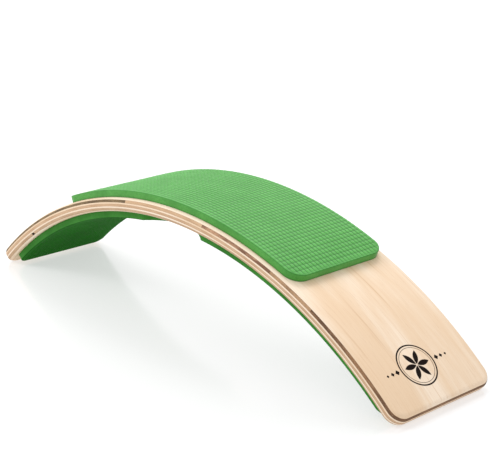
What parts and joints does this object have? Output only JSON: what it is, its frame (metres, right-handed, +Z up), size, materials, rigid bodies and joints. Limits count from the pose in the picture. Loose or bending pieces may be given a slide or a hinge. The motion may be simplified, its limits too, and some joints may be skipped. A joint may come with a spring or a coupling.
{
  "type": "curved balance board",
  "caption": "Bent plywood arch with rounded corners, a textured foam pad on top and a full-length foam pad with finger notches underneath.",
  "frame": {"origin": "on the surface that the arch stands on, midway between its two ends and midway across its width", "axes": "+X along the span, +Y across the width, +Z up; the arch's own axis lies along Y, below the surface"},
  "size_m": [0.749, 0.161, 0.1709],
  "materials": {
    "face_veneer": "satin",
    "core_veneer": "matte",
    "light_crossband": "matte",
    "brown_crossband": "matte",
    "dark_crossband": "matte",
    "green_foam": "matte",
    "adhesive_film": "matte"
  },
  "bodies": {
    "root": {"top_face_ply": "face_veneer", "upper_crossband_left": "dark_crossband", "upper_crossband_crown": "light_crossband", "upper_crossband_right_inner": "brown_crossband", "upper_crossband_right_middle": "brown_crossband", "upper_crossband_right_end": "dark_crossband", "upper_core_ply": "core_veneer", "middle_crossband": "light_crossband", "lower_core_ply": "core_veneer", "lower_crossband_left_end": "light_crossband", "lower_crossband_main": "light_crossband", "bottom_face_ply": "face_veneer", "top_pad": "green_foam", "top_pad_adhesive": "adhesive_film", "bottom_pad": "green_foam", "bottom_pad_adhesive": "adhesive_film"}
  },
  "joints": []
}
